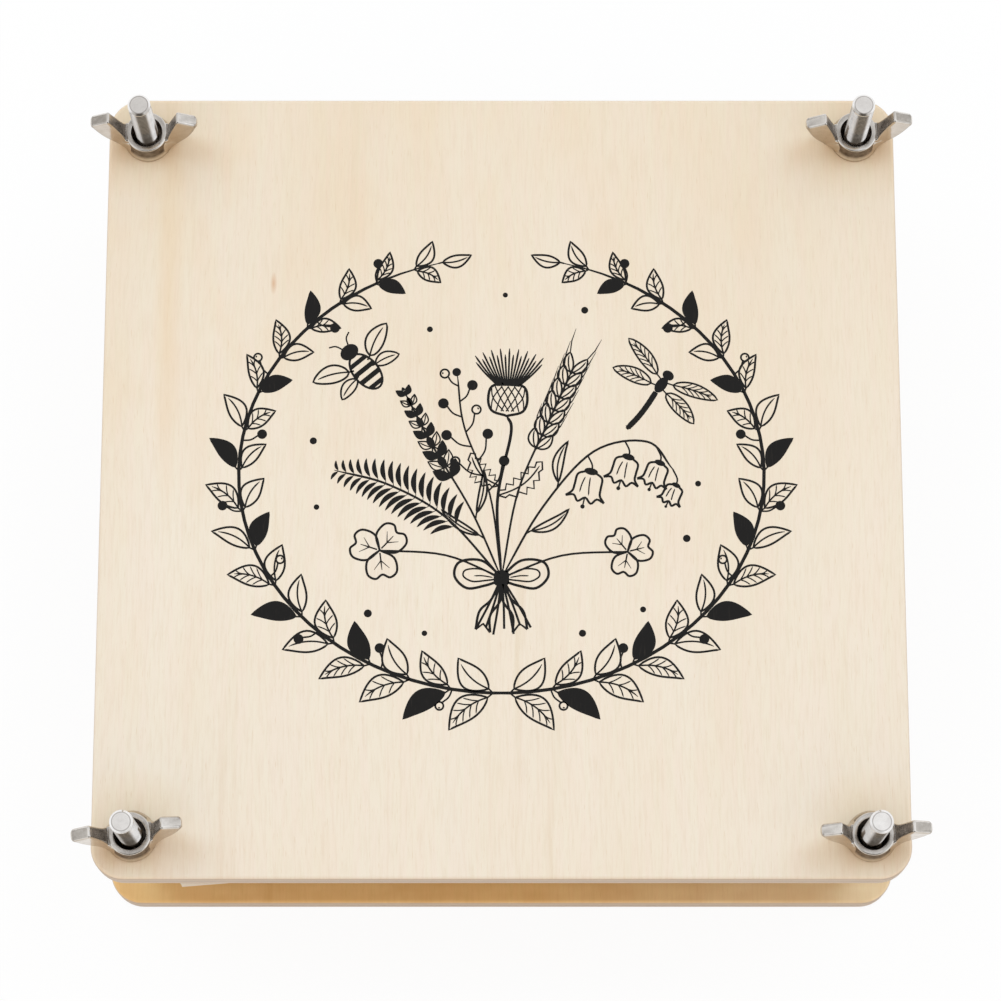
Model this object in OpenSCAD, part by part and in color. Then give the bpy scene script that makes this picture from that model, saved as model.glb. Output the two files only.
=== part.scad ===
// Flower press: two plywood boards, four bolts with wing nuts, and a stack of
// corrugated cardboard and blotting paper between the boards.
// The origin is the middle of the bottom board's underside. The front is -Y and the top is +Z.

/* [Boards] */
// Width of each board, side to side
board_w = 210; // [160:1:300]
// Depth of each board, front to back
board_d = 210; // [160:1:300]
// Thickness of each board
board_t = 8; // [7:0.5:18]
// Radius of the boards' corners
corner_r = 8.5; // [4:0.5:16]
// Rounding of the boards' upper and lower edges
board_edge_r = 1; // [0.3:0.1:2]

/* [Bolts] */
// Thread diameter of a bolt
bolt_d = 6; // [5:0.1:8]
// How far a bolt stands above the top board with the press closed
bolt_reach = 26.5; // [20:0.5:60]
// Distance from a bolt's middle to the side edge of the boards
bolt_inset_x = 10.5; // [9:0.5:20]
// Distance from a bolt's middle to the front or back edge of the boards
bolt_inset_y = 11; // [9:0.5:20]
// Distance across the flats of a bolt's hexagon head
head_af = 10; // [9.5:0.1:13]
// Height of a bolt's head
head_h = 4; // [3:0.1:5]
// Length of the chamfer on a bolt's tip
tip_chamfer = 0.55; // [0.2:0.05:0.8]

/* [Wing nuts] */
// Span over both wings
wing_span = 28.6; // [26:0.1:36]
// Height of the wings above the nut's seat
wing_h = 16.8; // [14:0.1:22]
// Width of a wing's end, across the slanted tip
wing_tip_w = 5.3; // [4:0.1:7]
// Drop of the slanted tip, from its inner corner to its outer one
wing_tip_drop = 3.3; // [2:0.1:5]
// Thickness of a wing
wing_t = 3.3; // [2.5:0.1:4]
// Height of the round boss
boss_h = 5.5; // [5:0.1:8]
// Diameter of the boss where it sits on the board
boss_base_d = 13.2; // [12.6:0.1:15]
// Diameter of the ring on top of the boss
boss_top_d = 11.2; // [10.6:0.1:12]
// Width of the ring on top of the boss
boss_ring_w = 1.45; // [1:0.05:1.6]

/* [Layers] */
// Number of cardboard sheets
card_count = 10; // [2:1:14]
// Thickness of a cardboard sheet
card_t = 3.6; // [2:0.1:6]
// Thickness of a sheet of blotting paper
paper_t = 0.3; // [0.2:0.05:0.8]
// How far the sheets lie inside the edges of the boards
sheet_inset = 7; // [4:0.5:12]
// Gap between a bolt and the cut corners of the sheets
sheet_gap = 3; // [1:0.1:6]
// How far the loose top sheet's front corner shows past the boards
loose_overhang = 0.8; // [0.4:0.1:3]
// Angle by which the loose top sheet's front edge is cut askew
loose_askew = 4.6; // [1:0.1:8]
// How much more is cut off the loose top sheet's front left corner
loose_extra_cut = 4; // [3:0.1:8]

/* [Fits] */
// Gap around a bolt in the top board's holes
board_hole_gap = 0.3; // [0.2:0.05:0.8]
// Gap around a bolt in the bottom board's holes
tight_hole_gap = 0.1; // [0.05:0.05:0.3]
// Gap around a bolt's head in its pocket
pocket_gap = 0.1; // [0.05:0.05:0.4]
// How far a bolt's head lies above the underside
head_recess = 0.2; // [0.1:0.05:0.5]
// Running gap between a bolt and its wing nut
thread_gap = 0.05; // [0.02:0.01:0.1]

/* [Hidden] */
round_fn = 96;
corner_fn = 64;
edge_fn = 48;
curve_steps = 8;
overrun = 1;
hex_sides = 6;

gap_count = card_count - 1;
stack_h = card_count * card_t + 2 * gap_count * paper_t + paper_t;
bolt_r = bolt_d / 2;
bolt_x = board_w / 2 - bolt_inset_x;
bolt_y = board_d / 2 - bolt_inset_y;
corner_x = board_w / 2 - corner_r;
corner_y = board_d / 2 - corner_r;
seat_z = head_recess + head_h;
stack_z = board_t;
top_z = stack_z + stack_h;
nut_z = top_z + board_t;
tip_z = nut_z + bolt_reach;

sheet_x = board_w / 2 - sheet_inset;
sheet_y = board_d / 2 - sheet_inset;
corner_cut = sheet_x + sheet_y - (bolt_x + bolt_y - sqrt(2) * (bolt_r + sheet_gap));
edge_x = sheet_x - corner_cut;
edge_y = sheet_y - corner_cut;
loose_front_y = board_d / 2 + loose_overhang;

// The boss: a skirt that narrows to an upright ring, and a countersunk thread
bore_r = bolt_r + thread_gap;
base_r = boss_base_d / 2;
ring_r = boss_top_d / 2;
mouth_r = ring_r - boss_ring_w;
skirt_height_shares = [0.1, 0.25, 0.45, 0.65];
skirt_width_shares = [1, 0.5, 0.18, 0];
mouth_depth_share = 0.2;
countersink_depth_share = 0.45;

// A wing's outline: two bends, given by a point that each is drawn towards
wing_root_x = (mouth_r + ring_r) / 2;
wing_foot_share = 0.1;
wing_low_pull_shares = [0.65, 0.25];
wing_high_pull_shares = [0.32, 0.45];

SIDES = [[-1, -1], [1, -1], [-1, 1], [1, 1]];
CORNERS = ["front_left", "front_right", "back_left", "back_right"];
// How far each wing nut is turned from lying along X, anticlockwise from above
nut_turns = [7, 1.5, 0, 2.5];

function bolt_name(i) = str("bolt_", CORNERS[i]);
function nut_name(i) = str("wing_nut_", CORNERS[i]);
function card_name(k) = str("cardboard_sheet_", k);
function under_name(g) = str("blotting_paper_", g, "_under");
function over_name(g) = str("blotting_paper_", g, "_over");

// A bend from a to b that leaves and arrives aiming at the point pull
function bend(a, pull, b) = [
    for (s = [0:curve_steps])
        let (u = s / curve_steps)
            (1 - u) * (1 - u) * a + 2 * u * (1 - u) * pull + u * u * b
];

function card_z(k) = stack_z + (k - 1) * (card_t + 2 * paper_t);

module at_bolt(i) {
    translate([SIDES[i][0] * bolt_x, SIDES[i][1] * bolt_y, 0]) children();
}

// A board's cross-section from corner_r inside its edge out to the rounded edge
module board_rim() {
    square([corner_r - board_edge_r, board_t]);
    translate([0, board_edge_r]) square([corner_r, board_t - 2 * board_edge_r]);
    for (z = [board_edge_r, board_t - board_edge_r])
        translate([corner_r - board_edge_r, z]) circle(r = board_edge_r, $fn = edge_fn);
}

module board_corner() {
    rotate_extrude(angle = 90, $fn = corner_fn) board_rim();
}

// The middle of a board, with the rim carried along each side and round each corner
module board() {
    translate([-corner_x, -corner_y, 0]) cube([2 * corner_x, 2 * corner_y, board_t]);
    for (turn = [0, 180])
        rotate([0, 0, turn]) {
            translate([corner_x, 0, 0])
                rotate([90, 0, 0])
                    linear_extrude(height = 2 * corner_y, center = true) board_rim();
            translate([0, corner_y, 0])
                rotate([90, 0, 90])
                    linear_extrude(height = 2 * corner_x, center = true) board_rim();
            translate([corner_x, corner_y, 0]) board_corner();
            translate([corner_x, -corner_y, 0]) rotate([0, 0, -90]) board_corner();
        }
}

module bolt_hole(gap) {
    translate([0, 0, -overrun])
        cylinder(r = bolt_r + gap, h = board_t + 2 * overrun, $fn = round_fn);
}

module hexagon(across_flats, height) {
    cylinder(r = across_flats / 2 / cos(180 / hex_sides), h = height, $fn = hex_sides);
}

module bottom_board() {
    color("burlywood")
        difference() {
            board();
            for (i = [0:3])
                at_bolt(i) {
                    bolt_hole(tight_hole_gap);
                    translate([0, 0, -overrun])
                        hexagon(head_af + 2 * pocket_gap, seat_z + overrun);
                }
        }
}

module top_board() {
    color("bisque")
        translate([0, 0, top_z])
            difference() {
                board();
                for (i = [0:3]) at_bolt(i) bolt_hole(board_hole_gap);
            }
}

module bolt(i) {
    color("silver")
        at_bolt(i) {
            translate([0, 0, head_recess]) hexagon(head_af, head_h);
            rotate_extrude($fn = round_fn)
                polygon([
                    [0, seat_z],
                    [bolt_r, seat_z],
                    [bolt_r, tip_z - tip_chamfer],
                    [bolt_r - tip_chamfer, tip_z],
                    [0, tip_z]
                ]);
        }
}

module boss() {
    mouth_depth = boss_h * mouth_depth_share;
    countersink_depth = boss_h * countersink_depth_share;
    skirt = [
        for (s = [0:len(skirt_height_shares) - 1])
            [ring_r + (base_r - ring_r) * skirt_width_shares[s], boss_h * skirt_height_shares[s]]
    ];
    rotate_extrude($fn = round_fn)
        polygon(concat(
            [[bore_r, 0], [base_r, 0]],
            skirt,
            [
                [ring_r, boss_h],
                [mouth_r, boss_h],
                [mouth_r, boss_h - mouth_depth],
                [bore_r, boss_h - countersink_depth]
            ]
        ));
}

module wing() {
    foot = [base_r, boss_h * wing_foot_share];
    outer_tip = [wing_span / 2, wing_h - wing_tip_drop];
    inner_tip = [wing_span / 2 - wing_tip_w, wing_h];
    saddle = [ring_r, boss_h];
    low_pull = [
        foot[0] + (outer_tip[0] - foot[0]) * wing_low_pull_shares[0],
        foot[1] + (outer_tip[1] - foot[1]) * wing_low_pull_shares[1]
    ];
    high_pull = [
        saddle[0] + (inner_tip[0] - saddle[0]) * wing_high_pull_shares[0],
        saddle[1] + (inner_tip[1] - saddle[1]) * wing_high_pull_shares[1]
    ];
    rotate([90, 0, 0])
        linear_extrude(height = wing_t, center = true)
            polygon(concat(
                [[wing_root_x, foot[1]]],
                bend(foot, low_pull, outer_tip),
                bend(inner_tip, high_pull, saddle),
                [[wing_root_x, saddle[1]]]
            ));
}

module wing_nut(i) {
    color("lightgray")
        at_bolt(i)
            translate([0, 0, nut_z])
                rotate([0, 0, nut_turns[i]]) {
                    boss();
                    wing();
                    rotate([0, 0, 180]) wing();
                }
}

// Half of a sheet's outline is the same for every layer: the right front, the right and the back
function back_outline() = [
    [sheet_x, -edge_y],
    [sheet_x, edge_y],
    [edge_x, sheet_y],
    [-edge_x, sheet_y],
    [-sheet_x, edge_y]
];

module sheet(z, thickness) {
    translate([0, 0, z])
        linear_extrude(height = thickness)
            polygon(concat([[edge_x, -sheet_y]], back_outline(), [[-sheet_x, -edge_y], [-edge_x, -sheet_y]]));
}

module cardboard_sheet(k) {
    color("peru") sheet(card_z(k), card_t);
}

module blotting_paper_under(g) {
    color("white") sheet(card_z(g) + card_t, paper_t);
}

module blotting_paper_over(g) {
    color("white") sheet(card_z(g) + card_t + paper_t, paper_t);
}

// The last sheet is cut askew, so its front left corner shows below the top board
module loose_top_sheet() {
    front_rise = 2 * edge_x * tan(loose_askew);
    color("white")
        translate([0, 0, top_z - paper_t])
            linear_extrude(height = paper_t)
                polygon(concat(
                    [[edge_x, front_rise - loose_front_y]],
                    back_outline(),
                    [[-sheet_x, loose_extra_cut - edge_y], [-edge_x, -loose_front_y]]
                ));
}

bottom_board();
top_board();
loose_top_sheet();
for (i = [0:3]) bolt(i);
for (i = [0:3]) wing_nut(i);
for (k = [1:card_count]) cardboard_sheet(k);
for (g = [1:gap_count]) blotting_paper_under(g);
for (g = [1:gap_count]) blotting_paper_over(g);
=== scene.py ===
"""A flower press in a plain studio: plywood boards, threaded bolts, wing nuts, card and blotting paper."""
import math

import bpy
import numpy as np
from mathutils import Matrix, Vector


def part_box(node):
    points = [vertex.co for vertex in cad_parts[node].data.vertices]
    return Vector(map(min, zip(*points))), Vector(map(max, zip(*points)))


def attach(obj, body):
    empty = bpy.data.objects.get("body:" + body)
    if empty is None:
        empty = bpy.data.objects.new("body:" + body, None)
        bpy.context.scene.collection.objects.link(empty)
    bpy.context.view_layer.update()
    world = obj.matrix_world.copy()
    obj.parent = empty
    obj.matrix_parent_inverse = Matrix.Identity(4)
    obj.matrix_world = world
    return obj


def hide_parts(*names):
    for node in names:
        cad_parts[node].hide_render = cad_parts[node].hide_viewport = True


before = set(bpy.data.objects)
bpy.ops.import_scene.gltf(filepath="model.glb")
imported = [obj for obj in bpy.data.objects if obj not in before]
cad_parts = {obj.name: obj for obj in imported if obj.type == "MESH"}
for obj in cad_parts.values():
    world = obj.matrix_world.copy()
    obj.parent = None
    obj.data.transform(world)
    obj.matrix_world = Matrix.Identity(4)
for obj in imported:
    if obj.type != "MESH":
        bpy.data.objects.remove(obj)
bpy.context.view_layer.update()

MM = 0.001
FULL_TURN = 2 * math.pi
CORNERS = ("front_left", "front_right", "back_left", "back_right")

# Sizes that the frame gives
top_low, top_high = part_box("top_board")
bottom_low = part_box("bottom_board")[0]
board_thickness = top_high.z - top_low.z
face_z = top_high.z
card_count = sum(name.startswith("cardboard_sheet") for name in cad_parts)


# Shapes on grids

def grid_faces(rows, columns, round_rows=False):
    """Four-sided faces over rows of ring points. Where the rows go round too, the last joins the first."""
    row = np.arange(rows if round_rows else rows - 1)[:, None]
    column = np.arange(columns)[None, :]
    next_row = (row + 1) % rows
    next_column = (column + 1) % columns
    corners = [row * columns + column, row * columns + next_column,
               next_row * columns + next_column, next_row * columns + column]
    return np.stack(np.broadcast_arrays(*corners), axis=-1).reshape(-1, 4).tolist()


def tube_shell(points, round_rows=False):
    """A shell from rows of ring points, closed at both ends by a flat face unless the rows go round."""
    rows, columns = points.shape[:2]
    faces = grid_faces(rows, columns, round_rows=round_rows)
    if not round_rows:
        faces.append(list(range(columns))[::-1])
        faces.append(list(range((rows - 1) * columns, rows * columns)))
    return points.reshape(-1, 3), faces


def joined(shells):
    """Several shells as one list of points and one of faces, each shell's faces counted on from the last."""
    points, faces, count = [], [], 0
    for shell_points, shell_faces in shells:
        points.append(shell_points)
        faces += [[corner + count for corner in face] for face in shell_faces]
        count += len(shell_points)
    return np.concatenate(points), faces


def turned(points, degrees):
    """Points turned about the Z axis: x cos a - y sin a, x sin a + y cos a."""
    angle = math.radians(degrees)
    x, y = points[..., 0], points[..., 1]
    return np.stack([x * math.cos(angle) - y * math.sin(angle),
                     x * math.sin(angle) + y * math.cos(angle), points[..., 2]], axis=-1)


def add_piece(name, shell, finish, body, stands_for=(), crease=35, painted_shade=None, keep_flats=False):
    """A mesh object at the origin, smooth but for edges sharper than the crease angle, riding on a body. The
    painted shade is a share from 0 to 1 at each point. Flats that are kept have their own slope up to where
    they meet a rounding."""
    points, faces = shell
    mesh = bpy.data.meshes.new(name)
    mesh.from_pydata(points.tolist(), [], faces)
    mesh.materials.append(finish)
    mesh.shade_smooth()
    mesh.set_sharp_from_angle(angle=math.radians(crease))
    piece = bpy.data.objects.new(name, mesh)
    bpy.context.scene.collection.objects.link(piece)
    if painted_shade is not None:
        mesh.attributes.new("painted_shade", "FLOAT", "POINT").data.foreach_set("value", painted_shade.ravel())
    if keep_flats:
        piece.modifiers.new("flat_faces", "WEIGHTED_NORMAL").keep_sharp = True
    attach(piece, body)
    if stands_for:
        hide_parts(*stands_for)
    return piece


# Finishes

def colour(red, green, blue):
    """A screen colour from 0 to 255 as the linear values that a shader takes."""
    share = np.array([red, green, blue]) / 255
    linear = np.where(share <= 0.04045, share / 12.92, ((share + 0.055) / 1.055) ** 2.4)
    return (*linear.tolist(), 1.0)


class Shades:
    """The shader nodes of a material or the world, with a short call for each kind of node."""

    def __init__(self, owner):
        owner.use_nodes = True
        self.tree = owner.node_tree
        self.place = self.node("TexCoord").outputs

    def node(self, kind, inputs=(), **settings):
        made = self.tree.nodes.new("ShaderNode" + kind)
        for name, value in settings.items():
            setattr(made, name, value)
        for socket, value in dict(inputs).items():
            if isinstance(value, bpy.types.NodeSocket):
                self.tree.links.new(value, made.inputs[socket])
            else:
                made.inputs[socket].default_value = value
        return made

    def stretched(self, x, y, z):
        """Object coordinates with each direction scaled by a factor, to draw a pattern out along one."""
        return self.node("Mapping", {"Vector": self.place["Object"], "Scale": (x, y, z)}).outputs["Vector"]

    def noise(self, vector, scale, detail=2.0, roughness=0.5):
        inputs = {"Vector": vector, "Scale": scale, "Detail": detail, "Roughness": roughness}
        return self.node("TexNoise", inputs).outputs["Fac"]

    def maths(self, operation, first, second=0.0, third=0.0):
        return self.node("Math", {0: first, 1: second, 2: third}, operation=operation).outputs[0]

    def length(self, vector):
        return self.node("VectorMath", {0: vector}, operation="LENGTH").outputs["Value"]

    def span(self, value, low, high, to_low=0.0, to_high=1.0, kind="LINEAR"):
        """A value carried from one range to another and held at its ends."""
        inputs = {"Value": value, "From Min": low, "From Max": high, "To Min": to_low, "To Max": to_high}
        return self.node("MapRange", inputs, interpolation_type=kind).outputs["Result"]

    def ramp(self, value, stops, interpolation="LINEAR"):
        """Colours along a value; stops are pairs of place and colour."""
        made = self.node("ValToRGB", {"Fac": value})
        elements = made.color_ramp.elements
        made.color_ramp.interpolation = interpolation
        while len(elements) < len(stops):
            elements.new(1.0)
        for element, (position, shade) in zip(elements, stops):
            element.position = position
            element.color = shade
        return made.outputs["Color"]

    def mix(self, factor, first, second, blend="MIX"):
        made = self.node("Mix", {0: factor, 6: first, 7: second}, data_type="RGBA", blend_type=blend)
        return made.outputs[2]

    def spot(self, x, y, centre, reach, strength, slimness):
        """A mark that fades from its centre to its reach along Y, and to a slim share of that across."""
        across = self.maths("DIVIDE", self.maths("SUBTRACT", x, centre[0]), slimness)
        away = self.node("CombineXYZ", {0: across, 1: self.maths("SUBTRACT", y, centre[1])})
        return self.span(self.length(away.outputs[0]), 0.0, reach, strength, 0)

    def split(self, vector):
        return self.node("SeparateXYZ", {0: vector}).outputs

    def seen_directly(self):
        """1 for rays that show a surface itself, in the picture or mirrored, and 0 for the rest."""
        ray = self.node("LightPath").outputs
        either = self.maths("MAXIMUM", ray["Is Camera Ray"], ray["Is Glossy Ray"])
        return self.maths("MAXIMUM", either, ray["Is Transmission Ray"])


class Finish(Shades):
    """A material with values given for its shader's sockets."""

    def __init__(self, name, **values):
        self.material = bpy.data.materials.new(name)
        super().__init__(self.material)
        self.shader = self.tree.nodes["Principled BSDF"]
        for socket, value in values.items():
            self.shader.inputs[socket.replace("_", " ")].default_value = value

    def give(self, socket, value):
        self.tree.links.new(value, self.shader.inputs[socket])

    def bumps(self, *layers):
        """Bump layers, each a height from 0 to 1 and its depth in metres."""
        normal = None
        for height, depth in layers:
            inputs = {"Height": height, "Distance": depth, "Strength": 1.0}
            if normal:
                inputs["Normal"] = normal
            normal = self.node("Bump", inputs).outputs["Normal"]
        self.give("Normal", normal)


PALE = colour(242, 232, 216)
CREAM = colour(239, 226, 206)
COOL = colour(236, 229, 217)
HONEY = colour(234, 205, 165)
STRAW = colour(241, 231, 211)
ROSE = colour(243, 226, 210)
WARM = colour(233, 214, 186)
STREAK = colour(216, 188, 152)
FIBRE = colour(224, 206, 180)
# Painted shade for the bottom board's upper face under the stack, and the painted light it pales to at the
# right
PAINTED_GAP_SHADE = (1.05, 0.82, 0.46, 1.0)
PAINTED_END_LIGHT = (1.06, 0.98, 0.78, 1.0)
PIN_KNOT = colour(204, 148, 98)
END_GRAIN = colour(196, 182, 168)
LONG_GRAIN = colour(214, 201, 186)
GLUE = colour(160, 142, 122)
WHITE = (1.0, 1.0, 1.0, 1.0)
# Painted shade: the brown dark laid over hollows, creases and contact lines of the steel
PAINTED_SHADE_BROWN = colour(70, 54, 42)
# Painted reflection: the tan of shaded wood, mixed into the nuts' upright sides
PAINTED_WOOD_REFLECTION = colour(165, 132, 76)
# Painted shadow: the warm shade multiplied into the wood round each nut
PAINTED_NUT_SHADOW = (1.0, 0.87, 0.68, 1.0)

# Marks on the top board's face, and the painted shadow round the bolts: place and reach
BOLT_PLACE = (0.0945, 0.094)
NUT_SHADOW_REACH = 0.019
KNOT_PLACE = (-0.0604, 0.0535)
KNOT_REACH = 0.0033
TAN_STREAK_PLACE = (-0.085, 0.05)
TAN_STREAK_REACH = 0.07

# Shares of a board's thickness where its plies and glue lines start: 0 for end grain, 1 long grain, 2 glue
PLY_BANDS = ((0.0, 0), (0.175, 2), (0.19, 1), (0.385, 2), (0.4, 0), (0.6, 2), (0.615, 1), (0.81, 2),
             (0.825, 0))


def ply_finish(name, low, painted_upper_shade, marks, shift=0.0):
    """Pale plywood: grain along Y on the faces, and five plies between dark glue lines on the edges. The
    upper face is multiplied by a painted shade, which pales to the right as painted light where there are no
    marks: a pin knot, a tan streak and rounds of painted shadow by the bolts."""
    wood = Finish(name, Roughness=0.62, Specular_IOR_Level=0.25)
    x, y, z = wood.split(wood.place["Object"])[:3]
    wander = wood.noise(wood.stretched(6, 9, 1), 1.0, 2)
    bent_x = wood.maths("ADD", wood.maths("MULTIPLY_ADD", wander, 0.006, x), shift)

    def grain(across, along, detail=2.0, roughness=0.5):
        """Noise so many times a metre across and along the grain, following its wander."""
        vector = wood.node("CombineXYZ", {0: wood.maths("MULTIPLY", bent_x, across),
                                          1: wood.maths("MULTIPLY", y, along)})
        return wood.noise(vector.outputs[0], 1.0, detail, roughness)

    lean = wood.maths("MULTIPLY_ADD", x, 0.7, wood.maths("MULTIPLY", y, 4.6))
    warmth = wood.maths("ADD", lean, wood.maths("SUBTRACT", grain(24, 3, 3), 0.5))
    face = wood.mix(wood.span(warmth, -0.15, 0.65), PALE, WARM)
    towards_corner = wood.span(wood.maths("MULTIPLY_ADD", x, -0.6, y), -0.02, 0.12, 0.25, 1)
    blotches = wood.maths("MULTIPLY", wood.span(grain(62, 24, 3, 0.6), 0.48, 0.7, 0, 0.5), towards_corner)
    face = wood.mix(blotches, face, HONEY)
    face = wood.mix(wood.span(grain(60, 24, 3, 0.55), 0.3, 0.48, 0.25, 0), face, COOL)
    tinted = wood.mix(wood.span(grain(430, 22, 2), 0.4, 0.6), STRAW, ROSE)
    face = wood.mix(0.35, face, tinted)
    fibres = grain(1500, 110, 3, 0.6)
    dashes = grain(3400, 260, 1)
    for pattern, start, full, strength, shade in (
            (grain(95, 4, 3), 0.45, 0.75, 0.4, CREAM), (grain(170, 6, 4, 0.6), 0.6, 0.82, 0.4, STREAK),
            (fibres, 0.45, 0.75, 0.35, FIBRE), (dashes, 0.66, 0.78, 0.35, STREAK)):
        face = wood.mix(wood.span(pattern, start, full, 0, strength), face, shade)
    if marks:
        face = wood.mix(wood.spot(x, y, KNOT_PLACE, KNOT_REACH, 0.6, 0.3), face, PIN_KNOT)
        face = wood.mix(wood.spot(bent_x, y, TAN_STREAK_PLACE, TAN_STREAK_REACH, 0.42, 0.06), face, HONEY)
        # Painted shadow: a warm darker round multiplied into the face round each bolt, where the nuts cast
        # shade
        quarter = (wood.maths("ABSOLUTE", x), wood.maths("ABSOLUTE", y))
        face = wood.mix(wood.spot(*quarter, BOLT_PLACE, NUT_SHADOW_REACH, 0.7, 1.0), face, PAINTED_NUT_SHADOW, "MULTIPLY")
    else:
        face = wood.mix(wood.span(grain(38, 70, 3, 0.6), 0.4, 0.66, 0, 0.4), face, STREAK)
        # Painted light: the painted shade on the bottom board pales towards its right end
        painted_upper_shade = wood.mix(wood.span(x, 0.01, 0.1), painted_upper_shade, PAINTED_END_LIGHT)

    depth = wood.span(z, low, low + board_thickness)
    front_edge, side_edge = (
        wood.ramp(depth, [(start, shades[ply]) for start, ply in PLY_BANDS], "CONSTANT")
        for shades in ((END_GRAIN, LONG_GRAIN, GLUE), (LONG_GRAIN, END_GRAIN, GLUE)))
    facing = wood.split(wood.place["Normal"])
    sideways = wood.span(wood.maths("ABSOLUTE", facing[0]), 0.6, 0.8)
    edge = wood.mix(sideways, front_edge, side_edge)
    pores = wood.noise(wood.place["Object"], 2400, 2, 0.7)
    edge = wood.mix(wood.span(pores, 0.5, 0.75, 0, 0.35), edge, STREAK)
    upright = wood.span(wood.maths("ABSOLUTE", facing[2]), 0.35, 0.75)
    # The upper face is multiplied by its painted shade, which is white, and so adds nothing, on the top board
    face = wood.mix(wood.span(facing[2], 0.35, 0.75), face, wood.mix(1.0, face, painted_upper_shade, "MULTIPLY"))
    wood.give("Base Color", wood.mix(upright, edge, face))
    wood.bumps((fibres, 0.00002), (dashes, 0.00003))
    return wood.material


def steel_finish(name, base, roughness, dents, scratches, painted_reflection_share):
    """Bright steel: a metal whose roughness drifts, with soft dents and a fine grit, dull and brown where
    shade is painted. Its upright sides are tinted tan by a share, a painted reflection of the shaded wood
    beside them."""
    steel = Finish(name, Metallic=1.0)
    place = steel.place["Object"]
    cloud = steel.noise(place, 300, 3, 0.6)
    # Painted shade: the share at each point darkens the steel towards brown, patchily
    painted_shade = steel.node("Attribute", attribute_name="painted_shade").outputs["Fac"]
    patchy = steel.span(steel.noise(place, 420, 3, 0.6), 0.35, 0.65, 0.72, 1.0)
    painted_shade = steel.maths("MULTIPLY", painted_shade, patchy)
    bright = steel.mix(steel.span(cloud, 0.35, 0.7), base[0], base[1])
    flatness = steel.maths("ABSOLUTE", steel.split(steel.place["Normal"])[2])
    # Painted reflection: upright sides take the tan of shaded wood, by a share
    bright = steel.mix(steel.span(flatness, 0.45, 0.8, painted_reflection_share, 0), bright, PAINTED_WOOD_REFLECTION)
    steel.give("Base Color", steel.mix(painted_shade, bright, PAINTED_SHADE_BROWN))
    shine = steel.span(steel.noise(place, 900, 4, 0.6), 0.3, 0.7, *roughness)
    steel.give("Roughness", steel.maths("MULTIPLY_ADD", painted_shade, 0.22, shine))
    steel.bumps((steel.noise(place, 500, 2), dents), (steel.noise(place, 3600, 3, 0.7), scratches))
    return steel.material


def card_finish():
    """Kraft board: brown paper with long fibres and darker flecks."""
    card = Finish("kraft", Roughness=0.85, Specular_IOR_Level=0.15)
    mottle = card.noise(card.place["Object"], 260, 4, 0.65)
    fibres = card.noise(card.stretched(1, 0.12, 1), 2600, 3, 0.6)
    shade = card.mix(card.span(mottle, 0.3, 0.7), colour(196, 160, 117), colour(176, 138, 96))
    shade = card.mix(card.span(fibres, 0.55, 0.75, 0, 0.5), shade, colour(142, 106, 70))
    card.give("Base Color", shade)
    card.bumps((mottle, 0.00004), (fibres, 0.00003))
    return card.material


def paper_finish():
    """Blotting paper: soft white with a felt-like surface."""
    paper = Finish("blotting", Roughness=0.9, Specular_IOR_Level=0.1)
    felt = paper.noise(paper.place["Object"], 1700, 4, 0.7)
    cloud = paper.noise(paper.place["Object"], 60, 2)
    shade = paper.mix(paper.span(cloud, 0.3, 0.7), colour(250, 249, 245), colour(245, 243, 236))
    paper.give("Base Color", paper.mix(paper.span(felt, 0.5, 0.8, 0, 0.3), shade, colour(226, 221, 208)))
    paper.bumps((felt, 0.00005))
    return paper.material


def ink_finish():
    """Black ink that the grain of the wood breaks up a little."""
    ink = Finish("ink", Roughness=0.55, Specular_IOR_Level=0.3)
    worn = ink.noise(ink.stretched(1, 0.08, 1), 2600, 3, 0.6)
    broken = ink.span(worn, 0.58, 0.8, 0, 0.5)
    ink.give("Base Color", ink.mix(broken, colour(13, 12, 12), colour(58, 52, 46)))
    return ink.material


BOLT_STEEL = steel_finish("bolt_steel", (colour(246, 245, 244), colour(234, 232, 231)), (0.1, 0.2),
                          0.000008, 0.000003, 0)
NUT_STEEL = steel_finish("nut_steel", (colour(243, 241, 238), colour(220, 217, 213)), (0.08, 0.22),
                         0.000024, 0.000005, 0.44)
KRAFT = card_finish()
PAPER = paper_finish()
INK = ink_finish()
TOP_PLY = ply_finish("top_ply", top_low.z, WHITE, marks=True)
BOTTOM_PLY = ply_finish("bottom_ply", bottom_low.z, PAINTED_GAP_SHADE, marks=False, shift=0.37)


def dress(node, finish):
    """Gives a board from the frame its finish."""
    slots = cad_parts[node].data.materials
    slots.clear()
    slots.append(finish)


dress("top_board", TOP_PLY)
dress("bottom_board", BOTTOM_PLY)

# Bolts: sizes as in the CAD model
THREAD_R = 3.0 * MM
THREAD_PITCH = 1.0 * MM
THREAD_DEPTH = 0.55 * MM
THREAD_START = 6.0 * MM
TIP_CHAMFER = 0.55 * MM
HEAD_AF = 10.0 * MM
HEAD_FACE_R = 4.7 * MM
HEAD_CHAMFER_SLOPE = math.tan(math.radians(25))
SEAT_Z = 4.2 * MM
NECK = 0.1 * MM
BOLT_SIDES = 48
# Share of a turn and of the full depth at each row of the groove
GROOVE = ((0.06, 0), (0.45, 1), (0.55, 1), (0.94, 0))
# Inset and drop in mm, and share of painted shade, of each ring over the tip's chamfer
TIP_RINGS = ((-0.05, 0.05, 0.0), (0.0, 0.0, 0.5), (0.14, 0.0, 0.5), (0.3, 0.0, 0.07))


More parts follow.
